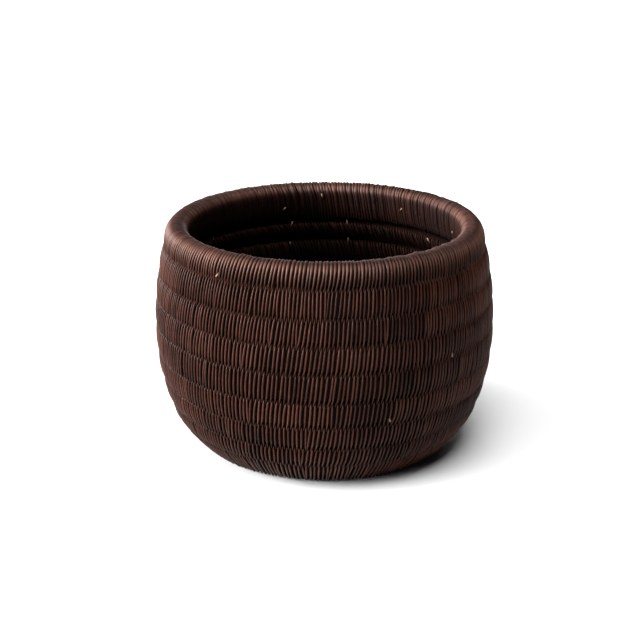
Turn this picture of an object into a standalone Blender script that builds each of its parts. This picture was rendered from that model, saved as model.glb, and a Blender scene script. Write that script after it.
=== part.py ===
"""Coiled fruit basket: level hoops of packed fibre, each bound in its own winding of split vine.

The basket stands on z = 0 with its axis on +Z. Lengths are in metres.

Every hoop is turned from a flattened section. The section fills a four-sided cell of the wall, whose corners
are two seams of the outer face and the same two seams of the inner face. A winding is a thin turned sleeve
round its hoop, open along the seam where the strand is stitched to the hoop below it.
"""
import math

import bpy

# Wall: the outer face is narrowest at the mouth, fullest at the belly, and curves in to the foot
BELLY_HEIGHT = 0.080
BELLY_RADIUS = 0.1138
MOUTH_HEIGHT = 0.1385
MOUTH_RADIUS = 0.1071
FOOT_RADIUS = 0.0794
FOOT_CURVE = 1.85
WALL_THICKNESS = 0.0166

# Seams between the hoops, from the rim down, and across the underside to the middle
WALL_SEAM_HEIGHTS = (MOUTH_HEIGHT, 0.1207, 0.1040, 0.0863, 0.0670, 0.0496, 0.0332, 0.0193, 0.0013)
BASE_SEAM_RADII = (0.067, 0.050, 0.033, 0.016)
BASE_SEAM_HEIGHT = 0.0013
BASE_DOME = 0.0025

# A seam runs uphill from the outer face to the inner one, by at least this many degrees
TUCK_ANGLES = (15, 15, 26, 21, 15, 15, 15, 15, 15, 15, 15, 15, 15)

# Hoop sections: how far an outer face stands proud of its seams, and how square each side is
BULGE = 0.0016
OUTER_SQUARENESS = 4.0
INNER_SQUARENESS = 2.6
SLEEVE_ANGLES = (260, 225, 180, 135, 45, 16, -16, -45, -80)
CORE_ANGLES = (225, 180, 135, 45, 0, -45)

# Winding and clearances
STRAND_THICKNESS = 0.0012
GAP = 0.0004
CORE_EASE = 0.0009
CORE_INSET = STRAND_THICKNESS + CORE_EASE

# Rim: a roll that is round inside and longer outside. Its winding reaches down inside, over the first hoop
RIM_RADIUS = 0.0991
RIM_TOP = 0.1537
RIM_HALF_WIDTH = 0.0084
RIM_OUTSIDE_DROP = 0.0140
RIM_INSIDE_DROP = 0.0086
RIM_OUTSIDE_ANGLES = (60, 30, 8, -3)
RIM_INSIDE_ANGLES = (180, 150, 120, 90)
RIM_INSIDE_BAND = ((0.0945, 0.1270), (0.0924, 0.1312), (0.0913, 0.1365))
RIM_CORE_HEIGHT = 0.1464
RIM_CORE_HALF_WIDTH = 0.0051
RIM_CORE_HALF_HEIGHT = 0.0049
RIM_CORE_SIDES = 8
FIRST_HOOP_THICKNESS = 0.0127

# Centre of the base: the knot that the hoops start from
KNOT_CLEARANCE = 0.0006
KNOT_INSET = 0.0012
KNOT_CHAMFER = 0.0035

SEGMENTS = 24
MERGE_DISTANCE = 0.00001

WINDING_COLOR = (0.045, 0.019, 0.013, 1.0)
FIBRE_COLOR = (0.022, 0.012, 0.009, 1.0)
WINDING_ROUGHNESS = 0.5
FIBRE_ROUGHNESS = 0.85


def clear_scene():
    for obj in list(bpy.data.objects):
        bpy.data.objects.remove(obj, do_unlink=True)


def make_material(name, color, roughness):
    material = bpy.data.materials.new(name)
    material.use_nodes = True
    shader = material.node_tree.nodes["Principled BSDF"]
    shader.inputs["Base Color"].default_value = color
    shader.inputs["Roughness"].default_value = roughness
    shader.inputs["Metallic"].default_value = 0.0
    return material


def signed_power(value, exponent):
    return math.copysign(abs(value) ** exponent, value)


def outer_radius(height):
    """Radius of the wall's outer face at a seam of this height."""
    if height > BELLY_HEIGHT:
        rise = (height - BELLY_HEIGHT) / (MOUTH_HEIGHT - BELLY_HEIGHT)
        return BELLY_RADIUS - (BELLY_RADIUS - MOUTH_RADIUS) * rise ** 2
    drop = (BELLY_HEIGHT - height) / BELLY_HEIGHT
    reach = (1.0 - drop ** FOOT_CURVE) ** (1.0 / FOOT_CURVE)
    return FOOT_RADIUS + (BELLY_RADIUS - FOOT_RADIUS) * reach


def outer_seams():
    """Seams of the outer face as (radius, height), from the rim to the middle of the underside."""
    seams = [(outer_radius(height), height) for height in WALL_SEAM_HEIGHTS]
    edge = BASE_SEAM_RADII[0]
    for radius in BASE_SEAM_RADII:
        seams.append((radius, BASE_SEAM_HEIGHT + BASE_DOME * (1.0 - (radius / edge) ** 2)))
    return seams


def inner_seam(seams, index, thickness):
    """The seam's place on the inner face. It runs in square to the wall, but always uphill."""
    above = seams[max(index - 1, 0)]
    below = seams[min(index + 1, len(seams) - 1)]
    square = math.atan2(above[0] - below[0], above[1] - below[1])
    angle = max(square, math.radians(TUCK_ANGLES[index]))
    length = thickness / math.cos(angle - square)
    radius, height = seams[index]
    return (radius - length * math.cos(angle), height + length * math.sin(angle))


def between(start, end, share):
    return tuple(a + (b - a) * share for a, b in zip(start, end))


def cell_point(cell, across, along, inset_across, inset_along):
    """A point of a cell: across runs from -1 inside to 1 at the crest, along from -1 below to 1 above."""
    outer_top, inner_top, outer_bottom, inner_bottom = cell
    thickness = math.dist(between(outer_top, outer_bottom, 0.5), between(inner_top, inner_bottom, 0.5))
    half_depth = (thickness + BULGE) / 2.0
    depth = half_depth - BULGE - across * (half_depth - inset_across)
    top = between(outer_top, inner_top, depth / thickness)
    bottom = between(outer_bottom, inner_bottom, depth / thickness)
    half_height = math.dist(top, bottom) / 2.0
    return between(bottom, top, (1.0 + along * (1.0 - inset_along / half_height)) / 2.0)


def section(cell, angles, inset_across, inset_along):
    """Outline of a hoop in its cell: squarer outside, rounder inside, and flat where the basket stands."""
    outline = []
    for degrees in angles:
        across = math.cos(math.radians(degrees))
        along = math.sin(math.radians(degrees))
        power = 2.0 / (OUTER_SQUARENESS if across > 0.0 else INNER_SQUARENESS)
        radius, height = cell_point(cell, signed_power(across, power), signed_power(along, power),
                                    inset_across, inset_along)
        outline.append((radius, max(height, 0.0)))
    return outline


def oval(radius, height, half_width, half_height, angles):
    return [(radius + half_width * math.cos(math.radians(degrees)),
             height + half_height * math.sin(math.radians(degrees))) for degrees in angles]


def turn(name, outline, closed, material, collection):
    """Turn an outline in the XZ plane into a ring, or a solid where both ends are on the axis."""
    edges = [(i, i + 1) for i in range(len(outline) - 1)]
    if closed:
        edges.append((len(outline) - 1, 0))
    mesh = bpy.data.meshes.new(name)
    mesh.from_pydata([(radius, 0.0, height) for radius, height in outline], edges, [])
    mesh.materials.append(material)
    ring = bpy.data.objects.new(name, mesh)
    collection.objects.link(ring)
    screw = ring.modifiers.new("Turn", 'SCREW')
    screw.axis = 'Z'
    screw.angle = math.tau
    screw.steps = SEGMENTS
    screw.render_steps = SEGMENTS
    screw.use_merge_vertices = True
    screw.merge_threshold = MERGE_DISTANCE
    screw.use_smooth_shade = True
    return ring


def make_core(name, outline, collection):
    return turn(name, outline, True, make_material(name, FIBRE_COLOR, FIBRE_ROUGHNESS), collection)


def make_sleeve(name, outline, collection):
    """A winding as a turned sleeve, with its thickness inside the outline."""
    material = make_material(name, WINDING_COLOR, WINDING_ROUGHNESS)
    sleeve = turn(name, outline, False, material, collection)
    shell = sleeve.modifiers.new("Strand", 'SOLIDIFY')
    shell.thickness = STRAND_THICKNESS
    shell.offset = -1.0
    shell.use_even_offset = True
    return sleeve


def make_hoop(kind, number, cell, collection):
    core = section(cell, CORE_ANGLES, CORE_INSET, CORE_INSET)
    sleeve = section(cell, SLEEVE_ANGLES, 0.0, GAP / 2.0)
    make_core(f"{kind}_core_{number}", core, collection)
    make_sleeve(f"{kind}_winding_{number}", sleeve, collection)


def rim_side(drop, angles):
    """One side of the rim's roll, which widens from its top over this drop."""
    return oval(RIM_RADIUS, RIM_TOP - drop, RIM_HALF_WIDTH, drop, angles)


def make_rim(collection):
    sides = [90.0 - 360.0 * side / RIM_CORE_SIDES for side in range(RIM_CORE_SIDES)]
    core = oval(RIM_RADIUS, RIM_CORE_HEIGHT, RIM_CORE_HALF_WIDTH, RIM_CORE_HALF_HEIGHT, sides)
    inside = rim_side(RIM_INSIDE_DROP, RIM_INSIDE_ANGLES)
    outside = rim_side(RIM_OUTSIDE_DROP, RIM_OUTSIDE_ANGLES)
    make_core("rim_core", core, collection)
    make_sleeve("rim_winding", [*RIM_INSIDE_BAND, *inside, *outside], collection)


def make_knot(seams, collection):
    radius = seams[-1][0] - KNOT_CLEARANCE
    bottom = seams[-1][1] - BULGE + KNOT_INSET
    top = seams[-1][1] + WALL_THICKNESS - KNOT_INSET
    outline = [(0.0, top), (radius - KNOT_CHAMFER, top), (radius, top - KNOT_CHAMFER),
               (radius, bottom + KNOT_CHAMFER), (radius - KNOT_CHAMFER, bottom), (0.0, bottom)]
    material = make_material("base_centre_knot", WINDING_COLOR, WINDING_ROUGHNESS)
    turn("base_centre_knot", outline, False, material, collection)


def make_basket():
    collection = bpy.data.collections.new("woven_fruit_basket")
    bpy.context.scene.collection.children.link(collection)
    seams = outer_seams()
    wall_hoops = len(WALL_SEAM_HEIGHTS) - 1
    make_rim(collection)
    for index in range(len(seams) - 1):
        thickness = FIRST_HOOP_THICKNESS if index == 0 else WALL_THICKNESS
        cell = (seams[index], inner_seam(seams, index, thickness),
                seams[index + 1], inner_seam(seams, index + 1, thickness))
        if index < wall_hoops:
            make_hoop("wall", index + 1, cell, collection)
        else:
            make_hoop("base", index - wall_hoops + 1, cell, collection)
    make_knot(seams, collection)


clear_scene()
make_basket()
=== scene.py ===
import math

import bpy
import numpy as np
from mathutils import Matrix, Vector
from mathutils.geometry import convex_hull_2d


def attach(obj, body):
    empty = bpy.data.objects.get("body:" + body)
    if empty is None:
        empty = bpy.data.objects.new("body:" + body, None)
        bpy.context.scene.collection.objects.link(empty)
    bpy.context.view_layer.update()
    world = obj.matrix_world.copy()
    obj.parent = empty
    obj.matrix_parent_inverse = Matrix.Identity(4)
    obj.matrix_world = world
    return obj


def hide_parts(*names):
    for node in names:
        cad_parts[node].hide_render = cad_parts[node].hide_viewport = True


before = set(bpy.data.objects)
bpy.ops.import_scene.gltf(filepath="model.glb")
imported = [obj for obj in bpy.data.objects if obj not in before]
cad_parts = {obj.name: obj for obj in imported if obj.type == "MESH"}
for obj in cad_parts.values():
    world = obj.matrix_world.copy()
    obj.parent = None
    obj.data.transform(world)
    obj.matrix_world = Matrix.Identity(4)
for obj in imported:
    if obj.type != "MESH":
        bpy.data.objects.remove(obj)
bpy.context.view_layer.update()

# The looks of a coiled fruit basket. Each hoop of packed fibre is bound by one strand of split vine, wound
# round it once a stitch. Every turn is modelled: its outer leg stands upright on the wall, its lower end is
# tucked between two stitches of the hoop below, and its inner leg slants up to the next stitch.
# Lengths are in metres. Places come from the turned sections of the CAD rings.

SEED = 7
WALL_HOOPS = 8
BASE_HOOPS = 4

# Stitches round each hoop, from the rim down the wall, and from the outermost hoop of the base inwards
RIM_STITCHES = 274
WALL_STITCHES = (279, 279, 258, 256, 255, 253, 243, 230)
BASE_STITCHES = (196, 152, 108, 62)
KNOT_STITCHES = 26

# The strand: a half-round split vine, flat on its back
STRAND_WIDTH = 0.00172
RIM_STRAND_WIDTH = 0.00270
KNOT_STRAND_WIDTH = 0.0021
STRAND_DEPTH = 0.00180
STRAND_OUTLINE = ((-0.75, -0.5), (0.75, -0.5), (1.0, -0.12), (0.84, 0.16), (0.46, 0.39), (0.0, 0.5),
                  (-0.46, 0.39), (-0.84, 0.16), (-1.0, -0.12))

# Room for a strand, as a share of the pitch: apart on the wall, side by side over the rim and inside
APART = 0.60
BESIDE = 1.15
# How much less painted shade a strand's sides get where it lies against its neighbours
CLOSE_LIFT = 0.32

# Outer leg of a stitch. Its upper end: metres below the upper seam, and under the crest of the hoop
UPPER_END = ((-0.0002, 0.0030), (0.0001, 0.0019), (0.0008, 0.0012), (0.0022, 0.0006))
# Its middle: share of the way down, and metres under the crest
MIDDLE = ((0.30, 0.0002), (0.50, 0.0), (0.70, 0.0001))
# Its lower end: metres above the lower seam, and under the crest. Past the seam it lies in the hoop below
LOWER_END = ((0.0026, 0.0004), (0.0010, 0.0007))
TAIL = ((0.0004, 0.0012), (0.0016, 0.0012), (0.0027, 0.0018), (0.0032, 0.0034))
# How wide the strand is at those steps, as shares of its full width
UPPER_WIDTHS = (0.55, 0.60, 0.74, 0.92)
LOWER_WIDTHS = (0.92, 0.78)
TAIL_WIDTHS = (0.64, 0.60, 0.56, 0.50)
# How high on the stitch the steps at its ends are, and how far into its tail the last steps are
UPPER_LEVELS = (1.0, 1.0, 0.96, 0.80)
LOWER_LEVELS = (-0.75, -0.92)
TAIL_SHARES = (0.03, 0.24, 0.62, 0.90, 1.0, 1.0)
# The inner leg's steps, in degrees round the section, from below to above
INNER_FROM = 262.0
INNER_TO = 98.0
INNER_STEPS = 11
# How far a stitch's ends are to either side of its middle, and its tail from its lower end, in pitches
LEAN = 0.17
TAIL_SHIFT = -0.42
# How far the lower end of the upright leg goes to meet its tail
STRAIGHTEN = 0.50

# A tail goes into a gap that is at most this many gaps away. What it costs, in pitches squared, for
# neighbouring tails to share a gap, leave one out or change order
GAPS_AWAY = 2
SHARED_GAP = 0.9
SKIPPED_GAP = 0.5
BACKWARD = 1000.0

# How far a stitch bows sideways, as a share of the pitch
BOW = 0.055

# How much stitches differ, one from the next: spacing and lean as shares of the pitch, then width and tone,
# each for a whole strip of vine and for a single stitch
SPACING_SPREAD = 0.085
LEAN_SPREAD = 0.045
STRIP_WIDTH_SPREAD = 0.05
WIDTH_SPREAD = 0.045
STRIP_TONE_SPREAD = 0.6
TONE_SPREAD = 0.55
# A splice leaves this much more room, as a share of the pitch. A strip lasts this many stitches
SPLICE_ROOM = 0.14
STRIP_STITCHES = (9, 34)
# How far a stitch's lower and upper ends are up or down, and the whole of it in or out, in metres
LOWER_RISE_SPREAD = 0.00030
UPPER_RISE_SPREAD = 0.00015
DEPTH_SPREAD = 0.00010
# How far the seams between hoops wander up and down, in metres, in this many waves
SEAM_WAVES = 5
SEAM_WANDER = 0.00020

# Inner legs: one in two or three stands proud of the others, and is wider
PROUD = 0.00030
PROUD_WIDTH = 0.30
PROUD_EVERY = (2, 4)
# How proud those and the others are: mean and spread
PROUD_ONES = (1.0, 0.3)
PROUD_OTHERS = (-0.5, 0.35)
# How far an inner leg bows sideways, as a share of the pitch
INNER_SWAY = 0.16
# How softly the inside's painted shade starts and ends along it: 0 is at once
INSIDE_FADE = 0.3

# The two painted highlight bands of the rim, in degrees round its section from the outer side. The one
# inside is lightened less, by this factor
HIGHLIGHT_ANGLE = 42.0
INSIDE_HIGHLIGHT_ANGLE = 140.0
INSIDE_HIGHLIGHT = 0.60
HIGHLIGHT_SPREAD = 16.0
# Where the rim's painted shade deepens: from how many degrees round its section, and over how many.
# The top is reached from the outer and the inner side
OUTER_TOP_SHADING = (52.0, 20.0)
INNER_TOP_SHADING = (136.0, 22.0)
OUTER_FOOT_SHADING = (28.0, 18.0)
BAND_SHADING = (142.0, 26.0)
# How deep the painted shade gets there, as a share of the inside's
RIM_TOP_SHADE = 0.50
RIM_FOOT_SHADE = 0.30

# Section shape, as the CAD rings have it
OUTER_SQUARENESS = 4.0
INNER_SQUARENESS = 2.6
RIM_OUTSIDE_DROP = 0.0140
RIM_INSIDE_DROP = 0.0086
# The band inside the rim leans out towards its foot, by this much and along this curve. Its steps start at
# its foot, and the last is this share of its height under its top
RIM_BAND_SETBACK = 0.0038
RIM_BAND_CURVE = 2.6
RIM_BAND_STEPS = 5
RIM_BAND_TOP = 0.12

# The rim's winding, in degrees round its roll: down the outer side, and back over from the inner side
RIM_DOWN = (92.0, 1.0)
RIM_DOWN_STEPS = 9
RIM_OVER = (177.0, 104.0)
RIM_TAIL_SHARES = (0.14, 0.58, 0.88, 1.0, 1.0)
RIM_LOWER_WIDTHS = (0.96, 0.80)
# Up the roll the strands close up to lie side by side: from this sine of the angle, and over this much of it
RIM_CLOSE = (0.55, 0.42)

rng = np.random.default_rng(SEED)


# ---------------------------------------------------------------- sections read from the frame

def ring_outline(node):
    """Corner points (radius, height) round the section of a CAD ring, in order."""
    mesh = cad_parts[node].data
    points = sorted({(round(v.co.x, 6), round(v.co.z, 6)) for v in mesh.vertices
                     if abs(v.co.y) < 1e-6 and v.co.x > -1e-6})
    return np.array([points[i] for i in convex_hull_2d([Vector(p) for p in points])])


def hoop_names():
    """The winding nodes in order, from the rim down the wall and in across the base."""
    walls = [f"wall_winding_{i}" for i in range(1, WALL_HOOPS + 1)]
    bases = [f"base_winding_{i}" for i in range(1, BASE_HOOPS + 1)]
    return ["rim_winding", *walls, *bases, "base_centre_knot"]


class Cell:
    """The four-sided cell of the wall that a hoop fills. point(a, b) runs from a = -1 on the inner face to
    a = 1 on the outer crest, and from b = -1 at the lower seam to b = 1 at the upper one."""

    def __init__(self, node, up):
        outline = ring_outline(node)
        out = np.array([up[1], -up[0]])
        corner = {}
        for a in (1, -1):
            for b in (1, -1):
                corner[a, b] = outline[np.argmax(outline @ (a * out + b * up))]
        outer = 0.5 ** (1.0 / OUTER_SQUARENESS)
        inner = 0.5 ** (1.0 / INNER_SQUARENESS)
        outer_middle = (corner[1, 1] + corner[1, -1]) / 2.0
        inner_middle = (corner[-1, 1] + corner[-1, -1]) / 2.0
        outer_half = (corner[1, 1] - corner[1, -1]) / 2.0 / outer
        inner_half = (corner[-1, 1] - corner[-1, -1]) / 2.0 / inner
        self.across = (outer_middle - inner_middle) / (outer + inner)
        self.middle = outer_middle - outer * self.across
        self.twist = (outer_half - inner_half) / (outer + inner)
        self.along = outer_half - outer * self.twist
        self.half_height = float(np.linalg.norm(self.along + self.twist))
        self.half_depth = float(np.linalg.norm(self.across))

    def point(self, a, b):
        a = np.asarray(a)[..., None]
        b = np.asarray(b)[..., None]
        return self.middle + a * self.across + b * self.along + a * b * self.twist

    def under_crest(self, depth, b):
        """A point this many metres under the crest of the outer face."""
        return self.point(1.0 - np.asarray(depth) / self.half_depth, b)


def read_cells():
    """Cells of the wall and base hoops. Each one's way up is from the hoop below to the hoop above."""
    names = hoop_names()
    middles = [ring_outline(name).mean(0) for name in names]
    cells = {}
    for i in range(1, len(names) - 1):
        up = middles[i - 1] - middles[i + 1]
        cells[names[i]] = Cell(names[i], up / np.linalg.norm(up))
    return cells


# ---------------------------------------------------------------- the course of one turn

def signed_power(value, exponent):
    return np.copysign(np.abs(value) ** exponent, value)


def smooth(x):
    x = np.clip(x, 0.0, 1.0)
    return x * x * (3.0 - 2.0 * x)


class Turn:
    """One turn of the strand, as steps round the section: where each step is, how high on the stitch it is
    (1 at the upper seam, -1 at the lower), how far into its tail it is, how far up its inner leg it is, how
    much of its full width the strand has there, and how much of the pitch it may fill. The inner leg slants
    from its tail to the next stitch, all the way up if even, and mostly in its middle if not."""

    def __init__(self, outer, level, tail, widths, room, inner, even=False):
        self.points = np.concatenate([outer, inner])
        hidden = len(inner)
        self.steps = len(self.points)
        self.level = np.concatenate([level, -np.cos(np.linspace(0.0, math.pi, hidden))])
        self.tail = np.concatenate([tail, np.ones(hidden)])
        share = smooth((np.arange(hidden) + 1.0) / (hidden + 1.0))
        self.inner = np.concatenate([np.zeros(len(outer)), share if even else smooth(share)])
        self.widths = np.concatenate([widths, np.full(hidden, 1.0)])
        self.room = np.concatenate([room, np.full(hidden, BESIDE)])
        self.outside = np.arange(self.steps) < len(outer)
        # How much painted highlight each step gets
        self.highlight_band = np.zeros(self.steps)
        # How much painted shade each step gets: the inner legs get the inside's
        swell = 4.0 * self.inner * (1.0 - self.inner)
        self.inside = np.where(self.outside, 0.0, swell ** INSIDE_FADE)


def tail_points(below):
    """The lower end of a stitch, tucked between two stitches of the hoop below."""
    drop, depth = np.array(TAIL).T
    return below.under_crest(depth, 1.0 - drop / below.half_height)


def wall_turn(cell, below):
    """A turn round a wall or base hoop."""
    drop, depth = np.array(UPPER_END).T
    upper = cell.under_crest(depth, 1.0 - drop / cell.half_height)
    share, depth = np.array(MIDDLE).T
    middle = cell.under_crest(depth, 1.0 - 2.0 * share)
    rise, depth = np.array(LOWER_END).T
    lower = cell.under_crest(depth, rise / cell.half_height - 1.0)
    outer = np.concatenate([upper, middle, lower, tail_points(below)])
    level = np.concatenate([UPPER_LEVELS, 1.0 - 2.0 * share, LOWER_LEVELS, [-1.0] * len(TAIL)])
    tail = np.concatenate([np.zeros(len(outer) - len(TAIL_SHARES)), TAIL_SHARES])
    widths = np.concatenate([UPPER_WIDTHS, np.ones(len(MIDDLE)), LOWER_WIDTHS, TAIL_WIDTHS])
    angle = np.radians(np.linspace(INNER_FROM, INNER_TO, INNER_STEPS))
    power = 2.0 / INNER_SQUARENESS
    inner = cell.point(signed_power(np.cos(angle), power), signed_power(np.sin(angle), power))
    return Turn(outer, level, tail, widths, np.full(len(outer), APART), inner)


def rim_turn(below):
    """A turn round the rim: down the outer side to its tuck, back through the wall, up the inner band and
    over the roll."""
    outline = ring_outline("rim_winding")
    low, high = outline.min(0), outline.max(0)
    middle, half = (low[0] + high[0]) / 2.0, (high[0] - low[0]) / 2.0

    def side(angle, drop):
        return np.stack([middle + half * np.cos(angle), high[1] - drop * (1.0 - np.sin(angle))], 1)

    down = np.radians(np.linspace(*RIM_DOWN, RIM_DOWN_STEPS))
    over = np.radians(np.linspace(*RIM_OVER, INNER_STEPS - RIM_BAND_STEPS))
    fall = np.linspace(1.0, RIM_BAND_TOP, RIM_BAND_STEPS)
    height = high[1] - RIM_INSIDE_DROP - fall * (high[1] - RIM_INSIDE_DROP - low[1])
    band = np.stack([low[0] + RIM_BAND_SETBACK * fall ** RIM_BAND_CURVE, height], 1)
    outer = np.concatenate([side(down, RIM_OUTSIDE_DROP), tail_points(below)])
    inner = np.concatenate([band, side(over, RIM_INSIDE_DROP)])
    level = np.concatenate([np.sin(down) * 2.0 - 1.0, [-1.0] * len(TAIL)])
    tail = np.concatenate([np.zeros(len(outer) - len(RIM_TAIL_SHARES)), RIM_TAIL_SHARES])
    widths = np.concatenate([np.ones(len(down) - len(RIM_LOWER_WIDTHS)), RIM_LOWER_WIDTHS, TAIL_WIDTHS])
    room = APART + (BESIDE - APART) * smooth((np.sin(down) - RIM_CLOSE[0]) / RIM_CLOSE[1])
    room = np.concatenate([room, np.full(len(TAIL), APART)])
    turn = Turn(outer, level, tail, widths, room, inner, even=True)
    outer_degrees, inner_degrees = np.degrees(down), np.degrees(over)
    # Painted highlight: two bands round the roll, where the lamps' highlight falls, are lightened
    outer_highlight = (outer_degrees - HIGHLIGHT_ANGLE) / HIGHLIGHT_SPREAD
    inner_highlight = (inner_degrees - INSIDE_HIGHLIGHT_ANGLE) / HIGHLIGHT_SPREAD
    turn.highlight_band[:len(down)] = np.exp(-outer_highlight ** 2)
    turn.highlight_band[-len(over):] = INSIDE_HIGHLIGHT * np.exp(-inner_highlight ** 2)
    # Painted shade: the rim's top, its outer foot and the band inside are darkened
    outer_top = smooth((outer_degrees - OUTER_TOP_SHADING[0]) / OUTER_TOP_SHADING[1])
    outer_foot = smooth((OUTER_FOOT_SHADING[0] - outer_degrees) / OUTER_FOOT_SHADING[1])
    inner_top = smooth((INNER_TOP_SHADING[0] - inner_degrees) / INNER_TOP_SHADING[1])
    inner_foot = smooth((inner_degrees - BAND_SHADING[0]) / BAND_SHADING[1])
    turn.inside[:len(down)] = RIM_TOP_SHADE * outer_top + RIM_FOOT_SHADE * outer_foot
    turn.inside[len(outer):-len(over)] = 1.0
    turn.inside[-len(over):] = RIM_TOP_SHADE * inner_top + inner_foot
    return turn


# ---------------------------------------------------------------- where the stitches stand

def wave(count, size):
    """A slow, closed wander round the basket, as a function of the angle."""
    phases = rng.uniform(0.0, math.tau, count)
    sizes = rng.normal(0.0, size, count) / np.arange(1, count + 1) ** 0.5

    def at(angle):
        total = np.zeros_like(angle)
        for i in range(count):
            total += sizes[i] * np.sin((i + 2) * angle + phases[i])
        return total
    return at


class Winding:
    """One strand wound all the way round one hoop. A strip of vine lasts for a run of stitches, and then the
    next strip is spliced in."""

    def __init__(self, name, turn, stitches, offset, width=STRAND_WIDTH):
        self.name = name
        self.turn = turn
        self.stitches = stitches
        self.pitch = math.tau / stitches
        runs = strand_runs(stitches)
        spacing = 1.0 + rng.normal(0.0, SPACING_SPREAD, stitches)
        spacing[np.append(False, np.diff(runs) > 0)] += SPLICE_ROOM
        spacing *= math.tau / spacing.sum()
        middles = np.cumsum(spacing) + offset * self.pitch
        lean = (LEAN + rng.normal(0.0, LEAN_SPREAD, stitches)) * self.pitch
        self.tops = middles + lean
        self.bottoms = middles - lean
        self.tails = self.bottoms + TAIL_SHIFT * self.pitch
        self.bows = rng.normal(0.0, BOW, stitches) * self.pitch
        self.sways = rng.normal(0.0, INNER_SWAY, stitches) * self.pitch
        self.proud = rng.normal(*PROUD_OTHERS, stitches)
        every_few = np.cumsum(rng.integers(*PROUD_EVERY, stitches))
        every_few = every_few[every_few < stitches]
        self.proud[every_few] = rng.normal(*PROUD_ONES, len(every_few))
        self.splices = np.flatnonzero(np.diff(runs) > 0)
        run_count = runs[-1] + 1
        strip_widths = rng.normal(1.0, STRIP_WIDTH_SPREAD, run_count)
        self.widths = width * (strip_widths[runs] + rng.normal(0.0, WIDTH_SPREAD, stitches))
        strip_tones = rng.normal(0.0, STRIP_TONE_SPREAD, run_count)
        self.tones = strip_tones[runs] + rng.normal(0.0, TONE_SPREAD, stitches)

    def tuck_into(self, below):
        """Leads each stitch's tail into a gap between two upper ends of the hoop below. The tails keep their
        order. Two of them share a gap, or leave one out, only where that costs less than going further."""
        gaps = (below.tops + np.append(below.tops[1:], below.tops[0] + math.tau)) / 2.0
        gaps = np.concatenate([gaps - math.tau, gaps, gaps + math.tau])
        reach = np.arange(-GAPS_AWAY, GAPS_AWAY + 1)
        choices = np.searchsorted(gaps, self.tails)[:, None] + reach
        costs = ((gaps[choices] - self.tails[:, None]) / self.pitch) ** 2
        total = costs[0]
        came_from = []
        for i in range(1, self.stitches):
            jump = choices[i][:, None] - choices[i - 1][None, :]
            cases = [jump < 0, jump == 0, jump == 1]
            step = np.select(cases, [BACKWARD, SHARED_GAP, 0.0], SKIPPED_GAP * (jump - 1))
            reached = total[None, :] + step
            came_from.append(reached.argmin(1))
            total = reached.min(1) + costs[i]
        pick = int(total.argmin())
        for i in range(self.stitches - 1, -1, -1):
            self.tails[i] = gaps[choices[i, pick]]
            if i > 0:
                pick = int(came_from[i - 1][pick])
        self.bottoms += STRAIGHTEN * (self.tails - self.bottoms)


def strand_runs(stitches):
    """The number of the strip of vine that each stitch is made of."""
    runs = np.zeros(stitches, int)
    start = int(rng.integers(*STRIP_STITCHES))
    while start < stitches:
        runs[start:] += 1
        start += int(rng.integers(*STRIP_STITCHES))
    return runs


# ---------------------------------------------------------------- meshes

def mesh_object(name, vertices, faces, attributes):
    mesh = bpy.data.meshes.new(name)
    mesh.vertices.add(len(vertices))
    mesh.vertices.foreach_set("co", np.asarray(vertices, np.float32).ravel())
    mesh.loops.add(faces.size)
    mesh.loops.foreach_set("vertex_index", faces.astype(np.int32).ravel())
    mesh.polygons.add(len(faces))
    mesh.polygons.foreach_set("loop_start", np.arange(0, faces.size, faces.shape[1], dtype=np.int32))
    mesh.update(calc_edges=True)
    mesh.validate()
    mesh.shade_smooth()
    for key, values in attributes.items():
        if values.ndim == 1:
            layer = mesh.attributes.new(key, 'FLOAT', 'POINT')
            layer.data.foreach_set("value", values.astype(np.float32))
        else:
            layer = mesh.attributes.new(key, 'FLOAT_VECTOR', 'POINT')
            layer.data.foreach_set("vector", values.astype(np.float32).ravel())
    piece = bpy.data.objects.new(name, mesh)
    bpy.context.scene.collection.objects.link(piece)
    return piece


def grid_faces(rings, sides):
    """Quads of a closed tube whose last ring joins its first."""
    ring = np.arange(rings)[:, None]
    side = np.arange(sides)[None, :]
    after = (ring + 1) % rings
    beside = (side + 1) % sides
    near = [ring * sides + side, ring * sides + beside]
    far = [after * sides + beside, after * sides + side]
    return np.stack(near + far, -1).reshape(-1, 4)


def outward(vertices, faces):
    """The faces, turned over if they look inward."""
    a, b, c, d = (vertices[faces[:, i]] for i in range(4))
    volume = np.einsum('ij,ij->', a, np.cross(b, c)) + np.einsum('ij,ij->', a, np.cross(c, d))
    return faces if volume > 0.0 else faces[:, ::-1]


def unit(vectors):
    return vectors / np.linalg.norm(vectors, axis=-1, keepdims=True)


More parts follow.
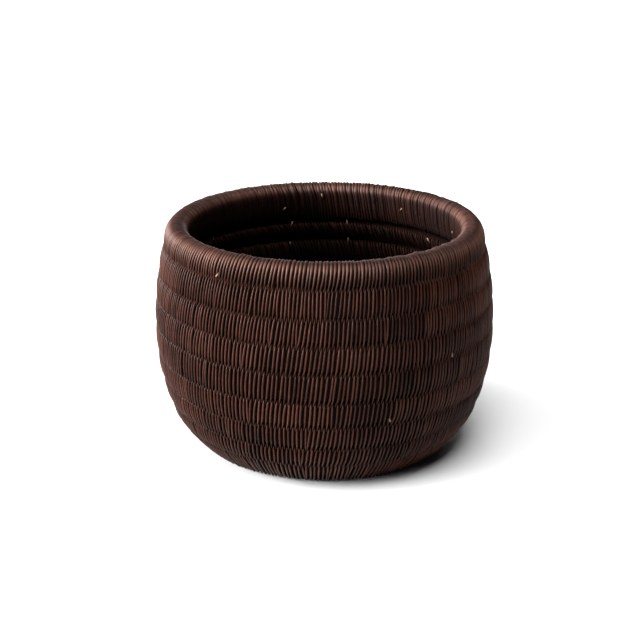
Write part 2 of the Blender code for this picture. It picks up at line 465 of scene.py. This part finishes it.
def winding_object(winding, upper_wave, lower_wave):
    """The whole strand of one hoop as one closed tube that runs on into itself."""
    turn = winding.turn
    count = winding.stitches
    tops, bottoms, tails = winding.tops[:, None], winding.bottoms[:, None], winding.tails[:, None]
    next_tops = np.append(winding.tops[1:], winding.tops[0] + math.tau)[:, None]
    angle = bottoms + (tops - bottoms) * (1.0 + turn.level) / 2.0 + (tails - bottoms) * turn.tail
    angle += winding.bows[:, None] * np.maximum(1.0 - turn.level ** 2, 0.0)
    angle = np.where(turn.outside, angle, tails + (next_tops - tails) * turn.inner)
    swell = np.where(turn.outside, 0.0, 4.0 * turn.inner * (1.0 - turn.inner))
    angle += winding.sways[:, None] * swell
    up = unit(turn.points[0] - turn.points[turn.steps // 2])
    rise = (upper_wave(angle) * (1.0 + turn.level) + lower_wave(angle) * (1.0 - turn.level)) / 2.0
    rise += rng.normal(0.0, LOWER_RISE_SPREAD, (count, 1)) * np.clip(-turn.level, 0.0, 1.0) ** 2
    rise += rng.normal(0.0, UPPER_RISE_SPREAD, (count, 1)) * np.clip(turn.level, 0.0, 1.0) ** 2
    depth = rng.normal(0.0, DEPTH_SPREAD, (count, 1)) - PROUD * winding.proud[:, None] * swell
    flat = turn.points[None] + rise[..., None] * up
    slope = np.roll(turn.points, -1, 0) - np.roll(turn.points, 1, 0)
    normal = unit(np.stack([-slope[:, 1], slope[:, 0]], 1))
    flat = flat - normal * (STRAND_DEPTH / 2.0 + depth[..., None])
    normal = np.broadcast_to(normal, flat.shape)
    radius, height = flat[..., 0].ravel(), flat[..., 1].ravel()
    angle = angle.ravel() - math.pi / 2.0
    points = np.stack([radius * np.cos(angle), radius * np.sin(angle), height], 1)
    normal = normal.reshape(-1, 2)
    normal = np.stack([normal[:, 0] * np.cos(angle), normal[:, 0] * np.sin(angle), normal[:, 1]], 1)
    tangent = unit(np.roll(points, -1, 0) - np.roll(points, 1, 0))
    side = unit(np.cross(tangent, normal))
    normal = np.cross(side, tangent)
    room = np.tile(turn.room, count) * np.abs(radius) * winding.pitch
    half = np.minimum(np.repeat(winding.widths, turn.steps), room) * np.tile(turn.widths, count) / 2.0
    half *= (1.0 + PROUD_WIDTH * winding.proud[:, None] * swell).ravel()
    outline = np.array(STRAND_OUTLINE)
    across = outline[:, 0][None] * half[:, None]
    over = outline[:, 1][None] * STRAND_DEPTH * np.ones_like(half)[:, None]
    vertices = points[:, None] + across[..., None] * side[:, None] + over[..., None] * normal[:, None]
    vertices = vertices.reshape(-1, 3)
    vertices[:, 2] = np.maximum(vertices[:, 2], 0.0)
    faces = outward(vertices, grid_faces(len(points), len(outline)))
    length = np.cumsum(np.linalg.norm(np.roll(points, 1, 0) - points, axis=1))
    grain = np.stack([across, over, np.broadcast_to(length[:, None], across.shape)], -1).reshape(-1, 3)
    # The material paints shade into a strand's sides by its crown, less where strands lie close, and into
    # tucked tails
    close = np.clip((turn.room - APART) / (BESIDE - APART), 0.0, 1.0)[:, None]
    crown = (1.0 - outline[:, 0] ** 2 * (1.0 - CLOSE_LIFT * close)) * (outline[:, 1] > 0.0)
    tucked = np.where(turn.outside, turn.tail, 0.0)
    attributes = {"grain": grain, "tone": np.repeat(winding.tones, turn.steps * len(outline)),
                  "crown": np.tile(crown.ravel(), count)}
    for key, values in (("tucked", tucked), ("inside", turn.inside), ("highlight_band", turn.highlight_band)):
        attributes[key] = np.tile(np.repeat(values, len(outline)), count)
    return mesh_object(winding.name.replace("winding", "strand"), vertices, faces, attributes)


# ---------------------------------------------------------------- cut ends of the strips

END_SIDES = 6
# The rings of a cut end: how far along it, how wide as a share of its radius, and how pale the cut makes it
END_RINGS = ((0.0, 1.0, 0.0), (0.55, 0.95, 0.45), (1.0, 0.82, 0.75))
END_RADIUS = 0.00062
END_LENGTH = (0.0022, 0.0044)
# How thick it is for its width, then how far it's sunk into the strand and how far its tip is rounded, in
# radii, and how much it counts as a strand's crown
END_THICKNESS = 0.75
END_SUNK = 0.6
END_TIP = 0.15
END_CROWN = 0.8
# How far it turns out of the strand and to either side, as slopes
END_TURN_OUT = (0.06, 0.26)
END_TURN_ASIDE = 0.45

# The share of the ends that is on the outside, and the steps of a turn that an end can be at: counted from
# the first step outside, and back from the last step inside
ENDS_OUTSIDE = 0.12
END_STEPS_OUTSIDE = (6, 8)
END_STEPS_INSIDE = (9, 3)
# How far round an end inside is from its stitch, in pitches: at the foot of the inner leg, and more above it
END_INNER_SHIFT = 0.5
END_INNER_CLIMB = 0.8

# Most ends show on one part of the inside: degrees round from the front towards the right. This share of
# the others is trimmed away
ENDS_FROM = 80.0
ENDS_TO = 200.0
ENDS_TRIMMED = 0.85
# One more is on the outside of the rim
RIM_END_ANGLE = -37.0


def end_frame(winding, stitch, outside):
    """Where a strip ends on its stitch: the place, and the ways along it, out of the hoop and aside."""
    turn = winding.turn
    if outside:
        step = int(rng.integers(*END_STEPS_OUTSIDE))
    else:
        step = int(rng.integers(turn.steps - END_STEPS_INSIDE[0], turn.steps - END_STEPS_INSIDE[1]))
    place = turn.points[step]
    along = unit(turn.points[(step + 1) % turn.steps] - turn.points[step - 1])
    out = np.array([-along[1], along[0]])
    angle = winding.bottoms[stitch] - math.pi / 2.0
    if not outside:
        angle += winding.pitch * (END_INNER_SHIFT + END_INNER_CLIMB * turn.inner[step])
    ahead = np.array([math.cos(angle), math.sin(angle), 0.0])
    aside = np.array([-math.sin(angle), math.cos(angle), 0.0])
    lift = np.array([0.0, 0.0, 1.0])
    place, along, out = (ahead * flat[0] + lift * flat[1] for flat in (place, along, out))
    return place, along, out, aside


def strand_ends(windings):
    """Short cut ends, where one strip of vine is spliced to the next. Most are on the inside."""
    vertices, faces, cut = [], [], []
    ring = np.linspace(0.0, math.tau, END_SIDES, endpoint=False)
    for winding in windings:
        front_end = int(np.abs(winding.bottoms - math.tau - math.radians(RIM_END_ANGLE)).argmin())
        extra = [front_end] if winding.name == "rim_winding" else []
        for stitch in [*winding.splices, *extra]:
            outside = stitch in extra or rng.random() < ENDS_OUTSIDE
            turned = math.degrees(winding.bottoms[stitch]) % 360.0
            if not outside and not ENDS_FROM < turned < ENDS_TO and rng.random() < ENDS_TRIMMED:
                continue
            place, along, out, aside = end_frame(winding, stitch, outside)
            way = unit(along + out * rng.uniform(*END_TURN_OUT) + aside * rng.normal(0.0, END_TURN_ASIDE))
            across = unit(np.cross(way, out))
            over = np.cross(across, way)
            length = rng.uniform(*END_LENGTH)
            first = len(vertices)
            root = place - out * END_RADIUS * END_SUNK
            for share, size, pale in END_RINGS:
                middle = root + way * length * share
                for angle in ring:
                    around = across * math.cos(angle) + over * math.sin(angle) * END_THICKNESS
                    vertices.append(middle + around * END_RADIUS * size)
                    cut.append(pale)
            vertices += [root, middle + way * END_RADIUS * END_TIP]
            cut += [0.0, 1.0]
            start, tip = len(vertices) - 2, len(vertices) - 1
            for side in range(END_SIDES):
                beside = (side + 1) % END_SIDES
                faces.append((first + side, first + beside, start))
                last = first + END_SIDES * (len(END_RINGS) - 1)
                faces.append((last + beside, last + side, tip))
                for level in range(len(END_RINGS) - 1):
                    low, high = first + END_SIDES * level, first + END_SIDES * (level + 1)
                    faces.append((low + side, high + beside, low + beside))
                    faces.append((low + side, high + side, high + beside))
    vertices = np.array(vertices)
    vertices[:, 2] = np.maximum(vertices[:, 2], 0.0)
    attributes = {"grain": vertices, "cut": np.array(cut), "crown": np.full(len(cut), END_CROWN)}
    return mesh_object("strand_ends", vertices, np.array(faces), attributes)


# ---------------------------------------------------------------- fibre hoops

FIBRE_SEGMENTS = 220
FIBRE_STEPS = 30
# Bundles to a hoop, how often they twist round it, and how far they stand out
FIBRE_BUNDLES = 11
FIBRE_TWISTS = 5
FIBRE_RELIEF = 0.00022
# The fibre is this far under the faces of its hoop, and reaches this far past the seams, so no gap shows
FIBRE_INSET = 0.0021
FIBRE_CROWDING = 0.0006
RIM_FIBRE_HALF_HEIGHT = 0.0082
KNOT_FIBRE_LEVELS = 14
KNOT_FIBRE_INSET = 0.0021
KNOT_FIBRE_REACH = 0.0014
KNOT_FIBRE_SLANT = 3.0
# How the knot's fibre is rounded, towards its edge and towards its top and bottom
KNOT_FIBRE_EDGE = 0.5
KNOT_FIBRE_ENDS = 0.7


def fibre_ring(name, middle, points):
    """A hoop of packed fibre: the section turned, with shallow twisted bundles."""
    steps = len(points)
    ring = np.linspace(0.0, math.tau, FIBRE_SEGMENTS, endpoint=False)[:, None]
    step = np.arange(steps)[None, :]
    relief = FIBRE_RELIEF * np.cos(FIBRE_BUNDLES * math.tau * step / steps + FIBRE_TWISTS * ring)
    outwards = unit(points - middle)
    flat = points[None] + relief[..., None] * outwards[None]
    radius, height = flat[..., 0], flat[..., 1]
    vertices = np.stack([radius * np.cos(ring), radius * np.sin(ring), height], -1).reshape(-1, 3)
    faces = outward(vertices, grid_faces(FIBRE_SEGMENTS, steps))
    grain = np.stack([radius, height, radius * ring], -1).reshape(-1, 3)
    return mesh_object(name, vertices, faces, {"grain": grain})


def knot_fibre(name):
    """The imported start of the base, a closed lump that fills the knot and the seam round it."""
    outline = ring_outline("base_centre_knot")
    low, high = outline.min(0), outline.max(0)
    middle = (low[1] + high[1]) / 2.0
    half_height = (high[1] - low[1]) / 2.0 - KNOT_FIBRE_INSET
    rise = np.radians(np.linspace(90.0, -90.0, KNOT_FIBRE_LEVELS + 2)[1:-1])[:, None]
    ring = np.linspace(0.0, math.tau, FIBRE_SEGMENTS, endpoint=False)[None, :]
    relief = FIBRE_RELIEF * np.cos(FIBRE_BUNDLES * ring + KNOT_FIBRE_SLANT * rise)
    radius = (high[0] + KNOT_FIBRE_REACH) * np.cos(rise) ** KNOT_FIBRE_EDGE - relief * np.cos(rise)
    height = middle + half_height * signed_power(np.sin(rise), KNOT_FIBRE_ENDS)
    height = np.broadcast_to(height, radius.shape)
    vertices = np.stack([radius * np.cos(ring), radius * np.sin(ring), height], -1).reshape(-1, 3)
    poles = [(0.0, 0.0, middle + half_height), (0.0, 0.0, middle - half_height)]
    vertices = np.concatenate([vertices, poles])
    top, bottom = len(vertices) - 2, len(vertices) - 1
    last = FIBRE_SEGMENTS * (KNOT_FIBRE_LEVELS - 1)
    faces = []
    for side in range(FIBRE_SEGMENTS):
        beside = (side + 1) % FIBRE_SEGMENTS
        faces += [(top, side, beside), (bottom, last + beside, last + side)]
        for first in range(0, last, FIBRE_SEGMENTS):
            under = first + FIBRE_SEGMENTS
            faces.append((first + side, under + side, under + beside))
            faces.append((first + side, under + beside, first + beside))
    return mesh_object(name, vertices, np.array(faces), {"grain": vertices})


def cell_ring_points(cell, inset):
    """The section of a hoop's fibre in its cell."""
    angle = np.linspace(0.0, math.tau, FIBRE_STEPS, endpoint=False)
    power = 2.0 / np.where(np.cos(angle) > 0.0, OUTER_SQUARENESS, INNER_SQUARENESS)
    a = signed_power(np.cos(angle), power)
    b = signed_power(np.sin(angle), power)
    return cell.point(a * (1.0 - inset / cell.half_depth), b * (1.0 + FIBRE_CROWDING / cell.half_height))


# ---------------------------------------------------------------- materials

class Tree:
    """A short way to add and join shader nodes."""

    def __init__(self, name):
        self.material = bpy.data.materials.new(name)
        self.material.use_nodes = True
        self.nodes = self.material.node_tree.nodes
        self.links = self.material.node_tree.links
        self.nodes.clear()

    def add(self, kind, inputs=None, **settings):
        made = self.nodes.new("ShaderNode" + kind)
        for key, value in settings.items():
            setattr(made, key, value)
        for key, value in (inputs or {}).items():
            if isinstance(value, bpy.types.NodeSocket):
                self.links.new(value, made.inputs[key])
            else:
                made.inputs[key].default_value = value
        return made

    def math(self, operation, first, second=0.0, clamp=False):
        return self.add("Math", {0: first, 1: second}, operation=operation, use_clamp=clamp).outputs[0]

    def line(self, value, slope, start):
        return self.add("Math", {0: value, 1: slope, 2: start}, operation='MULTIPLY_ADD').outputs[0]

    def around(self, value, share):
        """How far a noise is from its middle, times this share."""
        return self.math('MULTIPLY', self.math('SUBTRACT', value, 0.5), share)

    def attribute(self, name):
        return self.add("Attribute", attribute_name=name)

    def noise(self, vector, scale, detail=2.0, roughness=0.5):
        settings = {"Vector": vector, "Scale": scale, "Detail": detail, "Roughness": roughness}
        return self.add("TexNoise", settings).outputs["Fac"]

    def stretch(self, vector, scale):
        return self.add("Mapping", {"Vector": vector, "Scale": scale}).outputs["Vector"]

    def ramp(self, factor, stops):
        made = self.add("ValToRGB", {"Fac": factor})
        elements = made.color_ramp.elements
        while len(elements) < len(stops):
            elements.new(0.5)
        for element, (place, color) in zip(elements, stops):
            element.position = place
            element.color = (*color, 1.0)
        return made.outputs["Color"]

    def mix(self, factor, first, second, blend='MIX'):
        made = self.add("Mix", data_type='RGBA', blend_type=blend)
        for key, value in ((0, factor), (6, first), (7, second)):
            if isinstance(value, bpy.types.NodeSocket):
                self.links.new(value, made.inputs[key])
            else:
                made.inputs[key].default_value = value if key == 0 else (*value, 1.0)
        return made.outputs[2]

    def surface(self, color, roughness, bump=None, bump_depth=0.0, bump_strength=0.0, **sockets):
        shader = self.add("BsdfPrincipled", {"Base Color": color, "Roughness": roughness})
        for key, value in sockets.items():
            shader.inputs[key.replace("_", " ")].default_value = value
        if bump is not None:
            settings = {"Height": bump, "Strength": bump_strength, "Distance": bump_depth}
            self.links.new(self.add("Bump", settings).outputs["Normal"], shader.inputs["Normal"])
        output = self.add("OutputMaterial", {"Surface": shader.outputs["BSDF"]})
        output.is_active_output = True
        return self.material


# The stain of a strand's dark, middling and light parts
VINE_TONES = ((0.0085, 0.0026, 0.0016), (0.0375, 0.0122, 0.0076), (0.0680, 0.0248, 0.0160))
BASE_TONES = ((0.0080, 0.0028, 0.0018), (0.0320, 0.0122, 0.0082), (0.0540, 0.0228, 0.0160))
# The fibre is near black: partly its own dark colour, partly painted shade for the gaps between stitches
FIBRE_TONES = ((0.003, 0.0014, 0.001), (0.009, 0.0046, 0.0034))
# Worn crowns take this colour, and so does the painted highlight on the rim
WORN_AND_HIGHLIGHT = (0.190, 0.102, 0.078)
CUT = (0.27, 0.185, 0.115)
VINE_GLOSS = 0.08
RIM_GLOSS = 0.09
BASE_GLOSS = 0.06
FIBRE_GLOSS = 0.02
VINE_IOR = 1.5

# How fine streaks and flecks are across and along a strand, and patches and blotches over the basket
STREAKS = (2600.0, 2600.0, 110.0)
FLECKS = (1500.0, 1500.0, 420.0)
FIBRE_STREAKS = (1800.0, 1800.0, 60.0)
PATCHES = 34.0
BLOTCHES = 190.0
# How much a stitch's own tone, the streaks, the patches and the blotches count
TONE_SHARE = 0.16
STREAK_SHARE = 0.75
PATCH_SHARE = 0.7
BLOTCH_SHARE = 0.6

# Painted shade stays in a strand's sides and deepens in its tucks
SIDE_SHADE = 0.15
TUCK_SHADE = 0.5

# Inside, the painted shade is deeper and warmer
INSIDE_SHADE = (0.26, 0.165, 0.095)

# Painted contact shadow: the lowest millimetres are darkened
FOOT_HEIGHT = 0.007
FOOT_SHADE = 0.35

# Crowns are worn light where a fleck is over this strength, and get painted highlight along the streaks
WORN_OVER = 0.62
WORN_SHARPNESS = 5.0
WORN_SHARE = 0.25
HIGHLIGHT_SHARE = 0.78

# Roughness, and what streaks, crowns and the inside change it by
ROUGHNESS = 0.27
STREAK_ROUGHNESS = 0.24
CROWN_SMOOTHNESS = 0.06
INSIDE_ROUGHNESS = 0.50
FIBRE_ROUGHNESS = 0.75
FIBRE_STREAK_ROUGHNESS = 0.2
FLOOR_TONES = (0.64, 0.66)
FLOOR_ROUGHNESS = 0.9
# How much of the bump is flecks, next to the streaks, then its depth in metres and its strength
FLECK_BUMP = 0.4
BUMP_DEPTH = 0.00012
BUMP_STRENGTH = 0.55


def vine_material(name, dark, body, light, gloss):
    """Stained split vine: streaks along the strand, a tone for each stitch, painted shade and highlight."""
    tree = Tree(name)
    grain = tree.attribute("grain").outputs["Vector"]
    tone = tree.attribute("tone").outputs["Fac"]
    crown = tree.attribute("crown").outputs["Fac"]
    tucked = tree.attribute("tucked").outputs["Fac"]
    inside = tree.attribute("inside").outputs["Fac"]
    highlight_band = tree.attribute("highlight_band").outputs["Fac"]
    place = tree.add("TexCoord").outputs["Object"]
    streak = tree.noise(tree.stretch(grain, STREAKS), 1.0, 3.0, 0.6)
    fleck = tree.noise(tree.stretch(grain, FLECKS), 1.0, 2.0)
    patch = tree.noise(place, PATCHES, 3.0)
    blotch = tree.noise(place, BLOTCHES, 2.0)
    level = tree.line(tone, TONE_SHARE, 0.5)
    level = tree.math('ADD', level, tree.around(streak, STREAK_SHARE))
    level = tree.math('ADD', level, tree.around(patch, PATCH_SHARE))
    level = tree.math('ADD', level, tree.around(blotch, BLOTCH_SHARE), clamp=True)
    color = tree.ramp(level, ((0.0, dark), (0.5, body), (1.0, light)))
    # Painted shade: darker in the strand's sides, and darker still in its tucked tails
    sides = tree.line(crown, 1.0 - SIDE_SHADE, SIDE_SHADE)
    tuck = tree.math('SUBTRACT', 1.0, tree.math('MULTIPLY', tucked, TUCK_SHADE))
    sides = tree.math('MULTIPLY', sides, tuck)
    # Painted contact shadow: darker in the lowest millimetres
    low = tree.math('DIVIDE', tree.add("SeparateXYZ", {0: place}).outputs["Z"], FOOT_HEIGHT, clamp=True)
    foot = tree.math('ADD', FOOT_SHADE, tree.math('MULTIPLY', low, 1.0 - FOOT_SHADE))
    sides = tree.math('MULTIPLY', sides, foot)
    shade = tree.add("CombineColor", {0: sides, 1: sides, 2: sides}).outputs[0]
    color = tree.mix(1.0, color, shade, 'MULTIPLY')
    # Painted shade inside the basket, and on the rim's top, outer foot and inner band
    color = tree.mix(1.0, color, tree.mix(inside, (1.0, 1.0, 1.0), INSIDE_SHADE), 'MULTIPLY')
    worn = tree.math('MULTIPLY', tree.math('SUBTRACT', fleck, WORN_OVER), WORN_SHARPNESS, clamp=True)
    worn = tree.math('MULTIPLY', tree.math('MULTIPLY', worn, crown), WORN_SHARE)
    # Painted highlight along the rim's highlight bands
    painted_highlight = tree.math('MULTIPLY', highlight_band, crown)
    painted_highlight = tree.math('MULTIPLY', painted_highlight, tree.math('MULTIPLY', streak, HIGHLIGHT_SHARE))
    color = tree.mix(tree.math('MAXIMUM', worn, painted_highlight), color, WORN_AND_HIGHLIGHT)
    color = tree.mix(tree.attribute("cut").outputs["Fac"], color, CUT)
    rough = tree.line(streak, STREAK_ROUGHNESS, ROUGHNESS)
    rough = tree.math('SUBTRACT', rough, tree.math('MULTIPLY', crown, CROWN_SMOOTHNESS))
    rough = tree.math('ADD', rough, tree.math('MULTIPLY', inside, INSIDE_ROUGHNESS))
    height = tree.math('ADD', streak, tree.math('MULTIPLY', fleck, FLECK_BUMP))
    shine = {"IOR": VINE_IOR, "Specular_IOR_Level": gloss}
    return tree.surface(color, rough, height, BUMP_DEPTH, BUMP_STRENGTH, **shine)


def fibre_material():
    """Dull dark fibre, near black partly as painted shade, seen only between the stitches."""
    tree = Tree("core_fibre")
    grain = tree.attribute("grain").outputs["Vector"]
    streak = tree.noise(tree.stretch(grain, FIBRE_STREAKS), 1.0, 3.0)
    color = tree.ramp(streak, ((0.3, FIBRE_TONES[0]), (0.7, FIBRE_TONES[1])))
    rough = tree.line(streak, FIBRE_STREAK_ROUGHNESS, FIBRE_ROUGHNESS)
    return tree.surface(color, rough, Specular_IOR_Level=FIBRE_GLOSS)


def floor_material():
    """A matt, light floor, with a faint unevenness."""
    tree = Tree("floor_white")
    place = tree.add("TexCoord").outputs["Object"]
    dark, light = ((tone, tone, tone) for tone in FLOOR_TONES)
    color = tree.ramp(tree.noise(place, 3.0), ((0.0, dark), (1.0, light)))
    return tree.surface(color, FLOOR_ROUGHNESS)


# ---------------------------------------------------------------- assembly

def settle(piece, material, node):
    """Gives a piece its material and slot, and the CAD node that it replaces."""
    piece.data.materials.append(material)
    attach(piece, "root")
    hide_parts(node)


def no_wave(angle):
    return np.zeros_like(angle)


# The knot's turn: its steps, how many degrees they go round, the middle and half width of its section as
# shares of the knot's radius, and how round it is: 1 is an ellipse, and less is squarer
KNOT_STEPS = 24
KNOT_DEGREES = -345.0
KNOT_MIDDLE = 0.55
KNOT_HALF_WIDTH = 0.45
KNOT_POWER = 0.8


def knot_turn():
    """A turn of the knot in the middle of the base, from its edge in to its small eye."""
    outline = ring_outline("base_centre_knot")
    low, high = outline.min(0), outline.max(0)
    middle = np.array([high[0] * KNOT_MIDDLE, (low[1] + high[1]) / 2.0])
    half = np.array([high[0] * KNOT_HALF_WIDTH, (high[1] - low[1]) / 2.0])
    angle = np.radians(np.linspace(0.0, KNOT_DEGREES, KNOT_STEPS))
    oval = np.stack([signed_power(np.cos(angle), KNOT_POWER), signed_power(np.sin(angle), KNOT_POWER)], 1)
    points = middle + half * oval
    seen = KNOT_STEPS // 2
    none, full = np.zeros(seen), np.ones(seen)
    return Turn(points[:seen], none, none, full, full * BESIDE, points[seen:])


def make_windings(cells):
    names = hoop_names()
    hoops = [cells[name] for name in names[1:-1]]
    below = [*hoops[1:], hoops[-1]]
    turns = [rim_turn(hoops[0])] + [wall_turn(*pair) for pair in zip(hoops, below)]
    stitches = (RIM_STITCHES, *WALL_STITCHES, *BASE_STITCHES)
    windings = []
    for name, turn, count in zip(names, turns, stitches):
        width = RIM_STRAND_WIDTH if name == "rim_winding" else STRAND_WIDTH
        windings.append(Winding(name, turn, count, rng.uniform(0.0, 1.0), width))
    windings.append(Winding("base_knot_winding", knot_turn(), KNOT_STITCHES, 0.0, KNOT_STRAND_WIDTH))
    for above, under in zip(windings[:-2], windings[1:-1]):
        above.tuck_into(under)
    waves = [no_wave] + [wave(SEAM_WAVES, SEAM_WANDER) for _ in names[1:-1]] + [no_wave, no_wave]
    vine = vine_material("vine", *VINE_TONES, VINE_GLOSS)
    rim = vine_material("rim_vine", *VINE_TONES, RIM_GLOSS)
    base = vine_material("base_vine", *BASE_TONES, BASE_GLOSS)
    for i, winding in enumerate(windings):
        piece = winding_object(winding, waves[i], waves[i + 1])
        on_base = winding.name.startswith("base")
        material = base if on_base else rim if i == 0 else vine
        settle(piece, material, names[i])
    ends = strand_ends(windings[:-1])
    ends.data.materials.append(vine)
    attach(ends, "root")


def make_fibres(cells):
    material = fibre_material()
    outline = ring_outline("rim_winding")
    low, high = outline.min(0), outline.max(0)
    half = np.array([(high[0] - low[0]) / 2.0 - FIBRE_INSET, RIM_FIBRE_HALF_HEIGHT])
    middle = np.array([(low[0] + high[0]) / 2.0, high[1] - FIBRE_INSET - half[1]])
    angle = np.linspace(0.0, math.tau, FIBRE_STEPS, endpoint=False)
    points = middle + half * np.stack([np.cos(angle), np.sin(angle)], 1)
    settle(fibre_ring("rim_fibre", middle, points), material, "rim_core")
    for name, cell in cells.items():
        core = name.replace("winding", "core")
        ring = fibre_ring(core.replace("core", "fibre"), cell.middle, cell_ring_points(cell, FIBRE_INSET))
        settle(ring, material, core)
    settle(knot_fibre("base_knot_fibre"), material, "base_centre_knot")


# The studio floor is a little under the basket, so the two don't touch
FLOOR_POINTS = 12
FLOOR_HALF_WIDTH = 16.0
FLOOR_DROP = 0.0002


def make_floor():
    span = np.linspace(-FLOOR_HALF_WIDTH, FLOOR_HALF_WIDTH, FLOOR_POINTS)
    x, y = np.meshgrid(span, span)
    vertices = np.stack([x, y, np.full_like(x, -FLOOR_DROP)], -1).reshape(-1, 3)
    row, column = np.meshgrid(np.arange(FLOOR_POINTS - 1), np.arange(FLOOR_POINTS - 1), indexing="ij")
    first = (row * FLOOR_POINTS + column).ravel()
    faces = np.stack([first, first + 1, first + FLOOR_POINTS + 1, first + FLOOR_POINTS], 1)
    floor = mesh_object("floor", vertices, faces, {})
    floor.data.materials.append(floor_material())


# Studio lights: degrees from the front towards the left, degrees above level, spread in degrees, strength
LIGHTS = {
    "side_key": (86.0, 14.0, 42.0, 14.6),
    "side_back": (110.0, 30.0, 30.0, 0.9),
    "front_low": (63.0, 15.0, 30.0, 2.4),
    "overhead": (7.0, 75.0, 40.0, 4.4),
    "back_glow": (180.0, 15.0, 50.0, 1.8),
}
# The backdrop is white to the camera, and only this bright to everything else
ROOM_LIGHT = 0.01

CAMERA_DISTANCE = 0.898
CAMERA_RAISED = 19.96
CAMERA_AIM = (-0.003, 0.0, 0.0808)
CAMERA_LENS = 73.5
CAMERA_SENSOR = 36.0
CAMERA_CLIP_END = 60.0


def make_lights():
    for name, (turned, raised, spread, strength) in LIGHTS.items():
        data = bpy.data.lights.new(name, 'SUN')
        data.angle = math.radians(spread)
        data.energy = strength
        light = bpy.data.objects.new(name, data)
        side, up = math.radians(turned), math.radians(raised)
        level = math.cos(up)
        travel = Vector((math.sin(side) * level, math.cos(side) * level, -math.sin(up)))
        light.rotation_euler = travel.to_track_quat('-Z', 'Y').to_euler()
        bpy.context.scene.collection.objects.link(light)
    world = bpy.data.worlds.new("studio")
    world.use_nodes = True
    nodes, links = world.node_tree.nodes, world.node_tree.links
    backdrop = nodes.new("ShaderNodeMath")
    backdrop.operation = 'MAXIMUM'
    backdrop.inputs[1].default_value = ROOM_LIGHT
    links.new(nodes.new("ShaderNodeLightPath").outputs["Is Camera Ray"], backdrop.inputs[0])
    links.new(backdrop.outputs[0], nodes["Background"].inputs["Strength"])
    nodes["Background"].inputs["Color"].default_value = (1.0, 1.0, 1.0, 1.0)
    bpy.context.scene.world = world


def make_camera():
    elevation = math.radians(CAMERA_RAISED)
    aim = Vector(CAMERA_AIM)
    data = bpy.data.cameras.new("camera")
    data.lens = CAMERA_LENS
    data.sensor_width = CAMERA_SENSOR
    data.clip_end = CAMERA_CLIP_END
    camera = bpy.data.objects.new("camera", data)
    camera.location = aim + CAMERA_DISTANCE * Vector((0.0, -math.cos(elevation), math.sin(elevation)))
    camera.rotation_euler = (aim - camera.location).to_track_quat('-Z', 'Y').to_euler()
    bpy.context.scene.collection.objects.link(camera)
    bpy.context.scene.camera = camera


make_camera()
cells = read_cells()
make_windings(cells)
make_fibres(cells)
make_floor()
make_lights()
bpy.context.scene.view_settings.view_transform = 'Standard'
